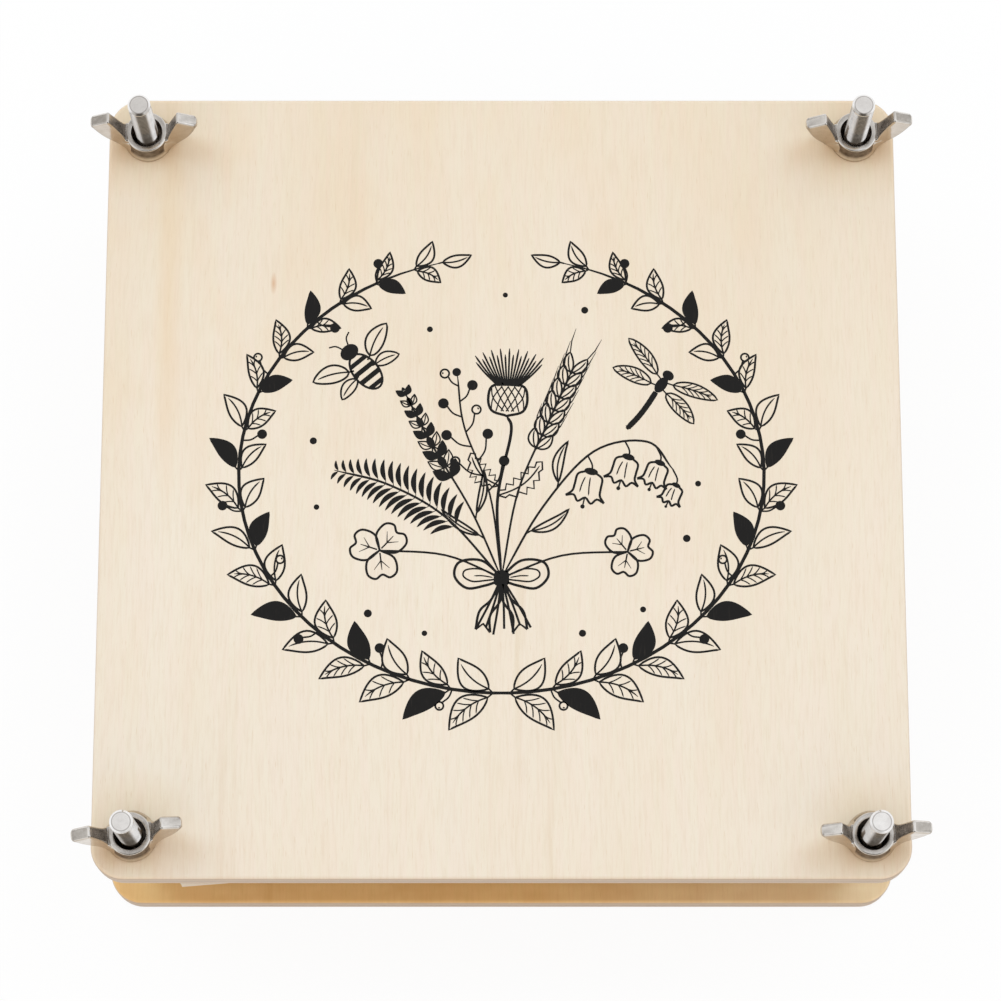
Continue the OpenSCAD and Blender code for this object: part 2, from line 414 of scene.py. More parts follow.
def thread_faces(rows, first, below, above):
    """Faces of a thread whose rows climb a turn's worth of rows in each round. They join the ring of points
    below and the ring above by one strip each, and by one many-sided face at the seam, where a turn's rows
    end."""
    last = BOLT_SIDES - 1
    climb = len(GROOVE)
    column = np.arange(last)[None, :]
    corner = np.arange(rows - 1)[:, None] * BOLT_SIDES + first + column
    body = np.stack([corner, corner + 1, corner + 1 + BOLT_SIDES, corner + BOLT_SIDES], axis=-1)
    left = first + np.arange(rows - 1 - climb) * BOLT_SIDES + last
    right = left - last + climb * BOLT_SIDES
    seam = np.stack([left, right, right + BOLT_SIDES, left + BOLT_SIDES], axis=-1)
    top = first + (rows - 1) * BOLT_SIDES
    strips = []
    for under, over in ((below, first), (top, above)):
        near, far = under + column[0], over + column[0]
        strips.append(np.stack([near, near + 1, far + 1, far], axis=-1))
    start = [below + last, below] + [first + i * BOLT_SIDES for i in range(climb + 1)] + [first + last]
    end = [top - climb * BOLT_SIDES + last, top, above, above + last]
    end += [top - i * BOLT_SIDES + last for i in range(climb)]
    return np.concatenate([body.reshape(-1, 4), seam, *strips]).tolist() + [start, end]


def bolt_shell(centre, low, high):
    """A hexagon head bolt. The head is rings whose radius is half its width over the cosine of the angle from
    the middle of a flat. The thread's rows rise by a pitch a turn, and its radius falls where the groove is.
    Also gives the painted shade of each point, in the grooves and round the tip's face."""
    angle = np.arange(BOLT_SIDES) / BOLT_SIDES * FULL_TURN
    sixth = FULL_TURN / 6
    hexagon = HEAD_AF / 2 / np.cos((angle + sixth / 2) % sixth - sixth / 2)
    level = np.ones_like(angle)
    rings = []
    for share in (0, 0.35, 0.7, 1):
        radius = HEAD_FACE_R + (hexagon - HEAD_FACE_R) * share
        rings.append((radius, low + (radius - HEAD_FACE_R) * HEAD_CHAMFER_SLOPE))
    rings.append((hexagon, level * SEAT_Z))
    for radius, height in ((THREAD_R + NECK, SEAT_Z), (THREAD_R, SEAT_Z + NECK), (THREAD_R, THREAD_START)):
        rings.append((level * radius, level * height))
    below = len(rings)
    painted_shade = [0 * level] * below
    top = high - TIP_CHAMFER
    turns = int((top - THREAD_START) / THREAD_PITCH) - 1
    start = top - 0.1 * MM - (turns + GROOVE[-1][0]) * THREAD_PITCH
    for turn in range(turns):
        for share, depth in GROOVE:
            z = start + (turn + share + angle / FULL_TURN) * THREAD_PITCH
            fade = np.clip((z - start) / (2 * THREAD_PITCH), 0, 1) * np.clip((top - z) / (0.2 * MM), 0, 1)
            rings.append((THREAD_R - THREAD_DEPTH * depth * fade, z))
            # Painted shade in the groove bottoms
            painted_shade.append(0.7 * depth * fade)
    above = len(rings)
    rings.append((level * THREAD_R, level * top))
    painted_shade.append(0 * level)
    # Painted shade in a ring round the tip's face
    for inset, drop, dark in TIP_RINGS:
        rings.append((level * (THREAD_R - TIP_CHAMFER - inset * MM), level * (high - drop * MM)))
        painted_shade.append(level * dark)
    radius = np.array([ring[0] for ring in rings])
    height = np.array([ring[1] for ring in rings])
    ring_x, ring_y = centre.x + radius * np.cos(angle), centre.y + radius * np.sin(angle)
    points = np.stack([ring_x, ring_y, height], axis=-1)
    first, upper, end = below * BOLT_SIDES, above * BOLT_SIDES, len(rings) * BOLT_SIDES
    faces = grid_faces(below, BOLT_SIDES) + thread_faces(above - below, first, first - BOLT_SIDES, upper)
    faces += [[corner + upper for corner in face] for face in grid_faces(len(rings) - above, BOLT_SIDES)]
    faces += [list(range(BOLT_SIDES))[::-1], list(range(end - BOLT_SIDES, end))]
    return (points.reshape(-1, 3), faces), np.array(painted_shade).ravel()


for corner in CORNERS:
    low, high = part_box("bolt_" + corner)
    bolt, bolt_painted_shade = bolt_shell((low + high) / 2, low.z, high.z)
    add_piece("threaded_bolt_" + corner, bolt, BOLT_STEEL, "base", ["bolt_" + corner],
              crease=32, painted_shade=bolt_painted_shade)

# Wing nuts: sizes as in the CAD model, and each nut's turn in degrees
NUT_TURNS = {"front_left": 7, "front_right": 1.5, "back_left": 0, "back_right": 2.5}
WING_REACH = 14.3 * MM
WING_TOP = 16.8 * MM
WING_TIP_WIDTH = 5.3 * MM
WING_TIP_DROP = 3.3 * MM
WING_THICKNESS = 3.3 * MM
WING_EDGE_R = 0.65 * MM
WING_FILLET = 1.3 * MM
WING_FILLET_FADE = 1.2 * MM
WING_HALF_MOST = 2.7 * MM
BOSS_HEIGHT = 5.5 * MM
BOSS_BASE_R = 6.6 * MM
RING_R = 5.6 * MM
MOUTH_R = 4.15 * MM
BORE_R = 3.05 * MM
BOSS_SIDES = 96
WING_ROWS = 26
EDGE_STEPS = 5
ROOT_X = 4.4 * MM
ROOT_END = 1.6 * MM
# Height, reach and half width at the boss of each level of a wing's foot, in mm
ROOT_LEVELS = ((0.2, 6.8, 4.8), (0.55, 7.5, 4.8), (1.1, 8.3, 4.4), (1.8, 9.0, 3.9),
               (2.8, 9.0, 3.5), (3.8, 8.4, 3.3), (4.6, 7.6, 2.6), (5.0, 7.0, 2.0))
# Painted shade over a wing's outer corners, by minus the cosine of the angle round the wing's section
CORNER_TURN = (0, 0.38, 0.71, 0.92, 1)
CORNER_DARK = (0.1, 0.5, 0.35, 0.1, 0)


def bend(start, pull, end, share):
    """The quadratic curve from start to end that leaves and arrives aiming at pull."""
    start, pull, end = (np.array(point)[None, :] for point in (start, pull, end))
    share = share[:, None]
    return (1 - share) ** 2 * start + 2 * share * (1 - share) * pull + share**2 * end


def between(first, second, shares):
    """The point whose coordinates lie at these shares of the way from the first point to the second."""
    return [a + (b - a) * s for a, b, s in zip(first, second, shares)]


def boss_shell(lumps):
    """The boss as one profile carried round the axis: flared skirt, ring, countersunk mouth and bore. The
    radius swells and shrinks by a sum of two sines of the angle, as a casting's does."""
    ring_edge = 0.4 * MM
    round_off = np.linspace(0, math.pi / 2, 5)
    skirt_share = np.linspace(0, 1, 13)
    skirt = [(RING_R + (BOSS_BASE_R - RING_R) * (1 - s) ** 1.7, BOSS_HEIGHT * (0.1 + 0.5 * s))
             for s in skirt_share]
    rim = [(RING_R - ring_edge + ring_edge * math.cos(a), BOSS_HEIGHT - ring_edge + ring_edge * math.sin(a))
           for a in round_off]
    profile = np.array([
        (BORE_R, 0.15 * MM), (BORE_R + 0.15 * MM, 0), (BOSS_BASE_R - 0.2 * MM, 0), (BOSS_BASE_R, 0.15 * MM),
        *skirt, *rim,
        (MOUTH_R + 0.2 * MM, BOSS_HEIGHT), (MOUTH_R + 0.04 * MM, BOSS_HEIGHT - 0.06 * MM),
        (MOUTH_R, BOSS_HEIGHT - 0.2 * MM), (MOUTH_R, BOSS_HEIGHT * 0.4), (BORE_R, BOSS_HEIGHT * 0.22),
    ])
    angle = np.arange(BOSS_SIDES) / BOSS_SIDES * FULL_TURN
    swell = 0.995 - 0.003 * np.sin(3 * angle + lumps[0]) - 0.002 * np.sin(8 * angle + lumps[1])
    radius = profile[:, :1] * np.where(profile[:, :1] > MOUTH_R, swell[None, :], 1)
    height = profile[:, 1:] + np.zeros_like(angle)[None, :]
    points = np.stack([radius * np.cos(angle), radius * np.sin(angle), height], axis=-1)

    # Painted shade: dark under the ring, down the mouth, in a contact line at the foot, and unevenly over the
    # ring's top
    out, up = profile.T
    under_ring = 0.9 * np.clip((up / BOSS_HEIGHT - 0.2) / 0.15, 0, 1) * (up < BOSS_HEIGHT - 0.35 * MM)
    down_mouth = np.clip((BOSS_HEIGHT - 0.15 * MM - up) / (0.2 * MM), 0, 1)
    at_foot = 0.8 * (up < 0.3 * MM)
    painted_shade = np.where(out < MOUTH_R + 0.1 * MM, down_mouth, np.maximum(under_ring, at_foot))
    ring_painted_shade = 0.4 + 0.2 * np.sin(2 * angle + lumps[1] + 1.0) * np.sin(angle + lumps[0])
    on_ring = up[:, None] > BOSS_HEIGHT - 0.01 * MM
    return tube_shell(points, round_rows=True), np.maximum(painted_shade[:, None], on_ring * ring_painted_shade).ravel()


def root_shell():
    """The spread of a wing's foot over the skirt. Each level's half width falls from the one at the boss to
    the wing's own by the share of the way left, to the power 1.2, and the end closes as a quarter of an
    oval does."""
    height, reach, wide = (np.array(column)[:, None] * MM for column in zip(*ROOT_LEVELS))
    share = np.linspace(0, 1, 17)
    closing = np.sqrt(1 - np.clip((share - 0.82) / 0.18, 0, 1) ** 2)
    x = ROOT_X + (reach - ROOT_X) * share
    half = (ROOT_END + (wide - ROOT_END) * (1 - share) ** 1.2) * closing
    x = np.concatenate([x, x[:, -2::-1]], axis=1)
    half = np.concatenate([-half, half[:, -2::-1]], axis=1)
    return tube_shell(np.stack([x, half, height + np.zeros_like(x)], axis=-1))


def wing_shell():
    """One wing as rounded oblongs carried from inside the boss to the slanted tip. Each oblong's ends lie on
    the wing's lower and upper bends, and its thickness grows towards the boss as a fillet does."""
    foot = (BOSS_BASE_R, BOSS_HEIGHT * 0.1)
    outer_tip = (WING_REACH, WING_TOP - WING_TIP_DROP)
    inner_tip = (WING_REACH - WING_TIP_WIDTH, WING_TOP)
    saddle = (RING_R, BOSS_HEIGHT)
    share = np.linspace(0, 1, WING_ROWS)
    lower = bend(foot, between(foot, outer_tip, (0.65, 0.25)), outer_tip, share)
    upper = bend(saddle, between(saddle, inner_tip, (0.32, 0.45)), inner_tip, share)
    root_low = np.array([[4.6 * MM, foot[1]], [5.6 * MM, foot[1]]])
    root_high = np.array([[4.6 * MM, 5.2 * MM], [5.1 * MM, 5.35 * MM]])
    lower = np.concatenate([root_low, lower])
    upper = np.concatenate([root_high, upper])
    middle = (lower + upper) / 2
    long_axis = (upper - lower) / 2
    half_length = np.linalg.norm(long_axis, axis=1)
    long_axis = long_axis / half_length[:, None]
    fillet = WING_FILLET * np.exp(-(middle[:, 0] - RING_R) / WING_FILLET_FADE)
    half_thickness = np.minimum(WING_THICKNESS / 2 + fillet, WING_HALF_MOST)

    ease = np.sin(np.linspace(0, math.pi / 2, EDGE_STEPS + 1))[1:]
    inset = WING_EDGE_R * (1 - np.sqrt(1 - ease**2))
    outward = np.array([long_axis[-1, 1], -long_axis[-1, 0]])
    back = WING_EDGE_R * (1 - ease)
    middle = np.concatenate([middle[:-1], middle[-1] - back[:, None] * outward])
    long_axis = np.concatenate([long_axis[:-1], np.repeat(long_axis[-1:], EDGE_STEPS, axis=0)])
    half_length = np.concatenate([half_length[:-1], half_length[-1] - inset])
    half_thickness = np.concatenate([half_thickness[:-1], half_thickness[-1] - inset])
    corner = np.full(len(middle), WING_EDGE_R)
    corner[-EDGE_STEPS:] -= inset * 0.9

    quarter = np.linspace(0, math.pi / 2, EDGE_STEPS)
    turn = (np.arange(4)[:, None] * math.pi / 2 + quarter[None, :]).ravel()
    sign_long = np.repeat([1, -1, -1, 1], EDGE_STEPS)
    sign_thick = np.repeat([1, 1, -1, -1], EDGE_STEPS)
    rounder = 0.55 * MM * np.clip((middle[:, 1:] - 8 * MM) / (5 * MM), 0, 1)
    corner = corner[:, None] + rounder * (sign_long < 0)
    long_part = sign_long * (half_length[:, None] - corner) + corner * np.cos(turn)
    thick_part = sign_thick * (half_thickness[:, None] - corner) + corner * np.sin(turn)
    points = np.stack([middle[:, :1] + long_axis[:, :1] * long_part, thick_part,
                       middle[:, 1:] + long_axis[:, 1:] * long_part], axis=-1)
    # Painted shade on the inner sides towards the boss, and along the outer corners
    towards_bolt = np.clip((np.cos(turn) - 0.75) / 0.2, 0, 1)
    down_wing = np.clip((WING_TOP - 1.5 * MM - middle[:, 1]) / (2.5 * MM), 0, 1)
    outer_corners = np.interp(-np.cos(turn), CORNER_TURN, CORNER_DARK) * (sign_long < 0)
    painted_shade = (0.68 * down_wing[:, None] * towards_bolt + outer_corners).ravel()
    root = root_shell()
    return joined([tube_shell(points), root]), np.append(painted_shade, np.zeros(len(root[0])))


for number, corner in enumerate(CORNERS):
    low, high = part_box("bolt_" + corner)
    centre = (low + high) / 2
    seat = np.array([centre.x, centre.y, face_z])
    boss, boss_painted_shade = boss_shell((1.3 * number, 2.1 * number))
    (wing, wing_faces), wing_painted_shade = wing_shell()
    points, faces = joined([boss, (wing, wing_faces), (turned(wing, 180), wing_faces)])
    points = turned(points, NUT_TURNS[corner]) + seat
    node = "wing_nut_" + corner
    add_piece("cast_" + node, (points, faces), NUT_STEEL, node, [node], crease=50,
              painted_shade=np.concatenate([boss_painted_shade, wing_painted_shade, wing_painted_shade]), keep_flats=True)

# The print: a wreath round a tied bunch, drawn in millimetres on the complex plane (x right, y to the back)
INK_HEIGHT = 0.02
INK_STEP = 0.0005
INK_LEVELS = 12


def aim(degrees):
    """A step of length 1 in a direction."""
    return np.exp(1j * math.radians(degrees))


def flowing(points, steps):
    """The Catmull-Rom curve through points: on each stretch a cubic whose slope at either end is half the
    way between that end's neighbours."""
    points = np.asarray(points, complex)
    ends = [2 * points[0] - points[1], 2 * points[-1] - points[-2]]
    knots = np.concatenate([ends[:1], points, ends[1:]])
    a, b, c, d = (knots[i:len(knots) - 3 + i, None] for i in range(4))
    t = np.arange(steps)[None, :] / steps
    rise, bow_in, twist = (c - a) / 2, a - 2.5 * b + 2 * c - d / 2, 1.5 * (b - c) + (d - a) / 2
    return np.append((b + rise * t + bow_in * t**2 + twist * t**3).ravel(), points[-1])


def oval(width, height, count):
    """Points round an oval: half the width by the cosine, half the height by the sine."""
    angle = np.arange(count) / count * FULL_TURN
    return width / 2 * np.cos(angle) + 0.5j * height * np.sin(angle)


def line(points, width, start=0.5, end=0.5):
    """One open stroke, its width falling to these shares at its ends."""
    share = np.linspace(0, 1, len(points))
    narrowing = np.minimum(1, np.minimum(start + share * 6, end + (1 - share) * 6))
    return [("line", np.asarray(points, complex), width * narrowing)]


def loop(points, width):
    """One stroke that closes on itself."""
    return [("loop", np.asarray(points, complex), np.full(len(points), width))]


def fill(points):
    """One shape inked all over."""
    return [("fill", np.asarray(points, complex), None)]


def moved(drawing, place, degrees=0, size=1.0, flipped=False):
    """A drawing flipped about its own x axis, scaled, turned and shifted; its line widths stay."""
    return [(kind, (points.conj() if flipped else points) * size * aim(degrees) + place, width)
            for kind, points, width in drawing]


def along(path, shares):
    """Places on a path at shares of its length, and its direction there in degrees."""
    reach = np.concatenate([[0], np.cumsum(np.abs(np.diff(path)))])
    reach /= reach[-1]
    ahead = np.minimum(np.asarray(shares) + 0.02, 1)
    step = np.interp(ahead, reach, path) - np.interp(ahead - 0.04, reach, path)
    return np.interp(shares, reach, path), np.degrees(np.angle(step))


def sprout(stem, share, lean, drawing, flipped=False):
    """A drawing set on a stem at a share of its length, leaning off the stem's direction."""
    place, heading = along(stem, share)
    return moved(drawing, place, heading + lean, flipped=flipped)


def leaf(length, width, bow, veins=0, inked=False, fullness=1.0, pen=0.55):
    """A leaf on a short stalk along x: the midrib is a parabola's arc, and the two sides stand off it by half
    the width times the sine of the way along, raised to one over the fullness."""
    way = np.linspace(0, 1, 15)
    rib = length * (0.12 + 0.88 * way) + 4j * bow * length * way * (1 - way)
    off = 0.5j * width * np.sin(math.pi * way**0.85) ** (1 / fullness)
    outline = np.concatenate([rib + off, (rib - off)[-2:0:-1]])
    stalk = np.array([0, 0.5 * rib[0], rib[0]])
    drawing = line(np.concatenate([stalk[:-1], rib[:-2]]), pen * 0.8, 1.0, 0.3) + loop(outline, pen)
    if inked:
        drawing += fill(outline)
    for number in range(veins):
        way_out = 0.18 + 0.62 * number / veins
        root = np.interp(way_out, way, rib)
        for side in (1, -1):
            tip = np.interp(min(way_out + 0.2, 0.94), way, rib + side * 0.86 * off)
            middle = (root + tip) / 2 - side * 0.04j * width
            drawing += line(flowing([root, middle, tip], 4), pen * 0.6, 0.8, 0.3)
    return drawing


def berry(stalk, size, inked):
    """A round berry at the end of a bent stalk along x."""
    path = flowing([0, stalk / 2 + 0.12j * stalk, stalk], 5)
    ball = oval(size, size, 20) + stalk + size / 2
    drawing = line(path, 0.45, 1, 1) + loop(ball, 0.5)
    if inked:
        return drawing + fill(ball)
    return drawing + line(flowing([stalk + size * (0.62 + 0.22j), stalk + size * (0.78 + 0.02j)], 3), 0.4)


def wreath_branch():
    """The right half of the wreath: a stem on nearly half an oval, leaves in pairs that shrink towards its
    tip, and berries between them."""
    angle = np.radians(np.linspace(-97, 76, 40))
    stem = 65.5 * np.cos(angle) + 56j * np.sin(angle)
    drawing = line(stem, 0.9, 0.6, 0.3)
    for number, share in enumerate(np.linspace(0.055, 0.965, 17)):
        size = 14.5 - 6.0 * share
        breadth = size * (0.36 if number % 2 else 0.42)
        outer = leaf(size, breadth, 0.1, (4, 0, 3)[number % 3], number % 4 == 1)
        inner = leaf(size * 0.86, breadth, 0.1, (0, 3, 0)[number % 3], number % 4 == 3)
        drawing += sprout(stem, share, -42, outer)
        drawing += sprout(stem, share, 44, inner, flipped=True)
    drawing += sprout(stem, 1.0, 0, leaf(8.5, 3.2, 0.08))
    for number, share in enumerate(np.linspace(0.11, 0.91, 9)):
        side = 1 if number % 2 else -1
        drawing += sprout(stem, share, side * 62, berry(4.2, 2.0, number % 3 != 0), side < 0)
    return drawing


def lavender(height):
    """A stem with whorls of small buds that get smaller towards the tip."""
    stem = flowing(height * np.array([0, 0.02 + 0.35j, 0.7j, 1j]), 8)
    drawing = line(stem, 0.55)
    for number, share in enumerate(np.linspace(0.52, 0.97, 9)):
        size = 5.2 - 2.3 * number / 8
        for lean in (38, -38):
            bud = leaf(size, size * 0.46, 0.05, 0, number % 2 == 0, 0.9, 0.4)
            drawing += sprout(stem, share, lean, bud, lean < 0)
        drawing += sprout(stem, share, 0, leaf(size * 0.8, size * 0.36, 0, 0, number % 2 == 1, 0.9, 0.4))
    for share, lean in ((0.2, 32), (0.3, -34)):
        drawing += sprout(stem, share, lean, leaf(13, 1.9, 0.06), lean < 0)
    return drawing


def wheat(height):
    """An ear of grain: pairs of plump grains up the stem, each with a long thin awn."""
    stem = flowing(height * np.array([0, -0.03 + 0.4j, 0.02 + 0.75j, 0.06 + 1j]), 8)
    drawing = line(stem, 0.55)
    for place, heading in zip(*along(stem, np.linspace(0.6, 0.98, 7))):
        for lean in (24, -24):
            husk = leaf(5.8, 2.5, 0.08, 0, False, 1.3, 0.5)
            drawing += moved(husk, place, heading + lean, flipped=lean < 0)
            far = place + 5.6 * aim(heading + lean)
            awn = [far, far + 3.2 * aim(heading + lean * 0.7), far + 6.6 * aim(heading + lean * 0.45)]
            drawing += line(awn, 0.32, 1, 0.3)
    return drawing


def fern(height):
    """A frond: a bent stem with inked leaflets that swell and then shrink along it."""
    stem = flowing(height * np.array([0, 0.05 + 0.4j, -0.01 + 0.72j, -0.13 + 0.97j]), 8)
    drawing = line(stem, 0.6, 0.8, 0.3)
    for number, share in enumerate(np.linspace(0.34, 0.98, 17)):
        way = number / 17
        size = 1.8 + 6.2 * math.sin(math.pi * (0.25 + 0.75 * way)) ** 0.8 * (1 - 0.3 * way)
        for lean in (64, -64):
            leaflet = leaf(size, 0.12 * size + 0.25, 0.1, 0, True, 1, 0.25)
            drawing += sprout(stem, share, lean, leaflet, lean > 0)
    return drawing


def bell(size):
    """A hanging bell flower: sides that swell and flare, a three-pointed lip and a clapper."""
    side = flowing([0.16, 0.44 - 0.16j, 0.47 - 0.52j, 0.5 - 0.8j, 0.7 - 1.02j], 5) * size
    lip = flowing([0.7 - 1.02j, 0.42 - 0.94j, 0.24 - 1.14j, -0.96j,
                   -0.24 - 1.14j, -0.42 - 0.94j, -0.7 - 1.02j], 4) * size
    drawing = line(side, 0.6, 1, 1) + line(-side.conj(), 0.6, 1, 1) + line(lip, 0.6, 1, 1)
    drawing += fill(oval(0.5 * size, 0.26 * size, 16) + 0.02j * size)
    drawing += line(flowing([0.02 - 0.2j, 0.05 - 0.55j, 0.1 - 0.86j], 4) * size, 0.35, 0.5, 0.3)
    drawing += line(flowing([-0.16 - 0.22j, -0.22 - 0.5j, -0.24 - 0.8j], 4) * size, 0.35, 0.5, 0.3)
    drawing += line(np.array([-0.02 - 1.0j, -0.02 - 1.24j]) * size, 0.4, 1, 1)
    return drawing + fill(oval(0.16 * size, 0.16 * size, 12) + (-0.02 - 1.3j) * size)


def bell_stem(height):
    """An arching stem with bells along its outer side."""
    stem = flowing(height * np.array([0, 0.02 + 0.42j, 0.12 + 0.8j, 0.34 + 0.97j, 0.52 + 0.9j]), 8)
    drawing = line(stem, 0.6)
    for number, (share, size) in enumerate(((0.6, 7.0), (0.76, 6.4), (0.89, 5.6), (1.0, 4.6))):
        place = along(stem, share)[0]
        drop = place + (2.6 - 3.4j)
        drawing += line(flowing([place, (place + drop) / 2 + 0.8, drop], 4), 0.45, 1, 1)
        drawing += moved(bell(size), drop, 14 - 4 * number)
    for share, lean in ((0.2, -30), (0.42, 24)):
        drawing += sprout(stem, share, lean, leaf(12.5, 2.6, 0.1), lean < 0)
    return drawing


def thistle(height):
    """A round cup covered in crossed lines under a tuft of fine hairs, on a stem with spiny leaves."""
    stem = flowing(height * np.array([0, -0.03 + 0.35j, 0.02 + 0.66j, 0.74j]), 8)
    cup_at = height * 0.74j + 4.6j
    cup = cup_at + flowing([-0.2 - 4.6j, 3.9 - 3.3j, 4.9 + 0.2j, 3.4 + 3.4j,
                            -3.4 + 3.4j, -4.9 + 0.2j, -3.9 - 3.3j, 0.2 - 4.6j], 5)
    drawing = line(stem, 0.8) + loop(cup[:-1], 0.7)
    for shift in (-4.6, -2.3, 0, 2.3, 4.6):
        for side in (1, -1):
            path = np.array([shift * 0.55 - side * 1.6 - 3.4j, shift * 0.8, shift * 0.7 + side * 1.7 + 3.1j])
            path = np.clip(path.real, -4.2, 4.2) + 1j * path.imag
            drawing += line(flowing(path, 5) + cup_at, 0.35, 1, 1)
    for number, angle in enumerate(np.radians(np.linspace(38, 142, 19))):
        start = cup_at + 3.3 * math.cos(angle) + 3.2j
        length = 9.8 if number % 2 else 8.2
        tip = start + length * np.exp(1j * (angle * 0.85 + 0.15 * math.pi / 2))
        middle = (start + tip) / 2 + 0.35 * math.cos(angle)
        drawing += line(flowing([start, middle, tip], 4), 0.5, 1, 0.4)
    way = np.linspace(0, 1, 13)
    jag = np.where(np.arange(13) % 2 == 0, 0.45, 1.0) * np.sin(math.pi * way) ** 0.6
    for share, lean, size in ((0.56, 50, 11), (0.5, -46, 14)):
        rib = size * way + 1.6j * np.sin(math.pi * way)
        blade = np.concatenate([rib + 2.7j * jag, (rib - 2.7j * jag)[-2:0:-1]])
        spiny = loop(blade, 0.5) + line(rib[:-1], 0.45, 1, 0.4)
        drawing += sprout(stem, share, lean, spiny, lean < 0)
    return drawing


def clover(size):
    """Three heart-shaped leaflets with a midline each, on one stem."""
    heart = flowing([0, 0.34 + 0.5j, 0.86 + 0.56j, 1.08 + 0.28j, 0.94,
                     1.08 - 0.28j, 0.86 - 0.56j, 0.34 - 0.5j, 0], 5)[:-1]
    leaflet = loop(heart * size, 0.6) + line(np.array([0.1, 0.45, 0.76]) * size, 0.4, 1, 0.4)
    for lean in (22, -22):
        leaflet += line(np.array([0.4, 0.78 * aim(lean)]) * size, 0.32, 1, 0.4)
    return moved(leaflet, 0, 90) + moved(leaflet, 0, 205) + moved(leaflet, 0, -25)


def bud_spray(height):
    """A thin forked stem whose twigs end in inked round buds."""
    stem = flowing(height * np.array([0, 0.03 + 0.4j, -0.02 + 0.75j, 1j]), 8)
    drawing = line(stem, 0.5)
    for number, share in enumerate(np.linspace(0.42, 0.95, 8)):
        side = 1 if number % 2 else -1
        bud = berry(7.5 - 0.55 * number, 2.2, number % 3 != 1)
        drawing += sprout(stem, share, side * 42, bud, side < 0)
    return drawing + fill(oval(2.2, 2.2, 14) + stem[-1] + 1j)


def bow():
    """A ribbon bow: a knot, two loops and two tails with notched ends."""
    outer = flowing([0.6 + 0.9j, 5.0 + 4.4j, 10.4 + 4.0j, 11.6 + 0.4j, 8.6 - 2.6j, 4.2 - 2.0j, 0.8 - 0.9j], 6)
    inner = flowing([1.6 + 0.5j, 5.2 + 2.2j, 8.8 + 2.0j, 9.4 + 0.4j, 7.2 - 0.9j, 4.0 - 0.7j, 1.6 - 0.4j], 6)
    tail = flowing([0.4 - 1.4j, 2.6 - 5.6j, 5.4 - 8.4j, 6.4 - 13.0j], 6)
    tail_side = flowing([-0.4 - 1.6j, 0.4 - 6.0j, 2.8 - 9.6j, 2.8 - 13.8j], 6)
    notch = [tail[-1], 4.5 - 11.6j, tail_side[-1]]
    half = line(outer, 0.7, 1, 1) + line(inner, 0.45, 1, 1)
    half += line(tail, 0.65, 1, 1) + line(tail_side, 0.65, 1, 1) + line(notch, 0.6, 1, 1)
    half += line(flowing([2.2 + 0.1j, 4.6 + 0.5j, 6.8 + 0.5j], 4), 0.35, 0.6, 0.3)
    knot = flowing([-1.4 + 1.3j, 1.6j, 1.4 + 1.3j, 1.6, 1.4 - 1.5j,
                    -1.8j, -1.4 - 1.5j, -1.6, -1.4 + 1.3j], 4)[:-1]
    return half + moved(half, 0, 180, flipped=True) + loop(knot, 0.7) + fill(knot)


def bee():
    """A bee seen from above: banded body, round head, two wings a side and feelers."""
    body = oval(7.4, 12.4, 30)
    drawing = loop(body, 0.6)
    for low, high in ((-0.9, -0.68), (-0.45, -0.2), (0.02, 0.26), (0.5, 0.72)):
        level = np.concatenate([np.linspace(low, high, 5), np.linspace(high, low, 5)])
        side = np.repeat([1, -1], 5)
        drawing += fill(3.65 * side * np.sqrt(1 - level**2) + 6.1j * level)
    head = oval(5.2, 4.0, 20) + 7.7j
    drawing += loop(head, 0.5) + fill(head)
    half = moved(leaf(12.5, 5.4, 0.06, 0, False, 1.4, 0.55), 2.6 + 2.4j, 24)
    half += moved(leaf(8.6, 3.8, 0.06, 0, False, 1.4, 0.5), 2.6 + 0.2j, -16)
    half += line(flowing([1.0 + 9.4j, 2.0 + 11.6j, 3.8 + 12.6j], 4), 0.4, 1, 1)
    return drawing + half + moved(half, 0, 180, flipped=True)


def dragonfly():
    """A dragonfly: a head, a chest, a long ringed tail and two pairs of veined wings."""
    head = oval(3.6, 2.8, 18) + 6.4j
    chest = oval(3.2, 5.6, 20) + 2.4j
    drawing = fill(head) + loop(head, 0.3) + fill(chest) + loop(chest, 0.3)
    tail = flowing([-0.6j, 0.3 - 6j, 0.2 - 11j, -0.5 - 16.5j], 6)
    drawing += line(tail, 1.5, 0.9, 0.5)
    for place in along(tail, np.linspace(0.12, 0.95, 7))[0]:
        drawing += fill(oval(2.1, 0.7, 12) + place)
    half = moved(leaf(17.5, 4.4, 0.03, 5, False, 1.5, 0.5), 1.2 + 4.0j, 17)
    half += moved(leaf(15.5, 4.8, 0.03, 5, False, 1.5, 0.5), 1.2 + 1.4j, -13)
    return drawing + half + moved(half, 0, 180, flipped=True)


# Place and width of each dot round the bunch
DOTS = ((-47 + 8j, 1.8), (-46 - 9j, 1.4), (-33 - 36j, 2.0), (49 - 3j, 1.5), (46 - 17j, 1.9),
        (35 - 35j, 1.5), (-18 + 37j, 1.5), (21 + 42j, 1.8), (1 + 46j, 1.3), (-19 - 41j, 1.4), (20 - 41j, 1.8))


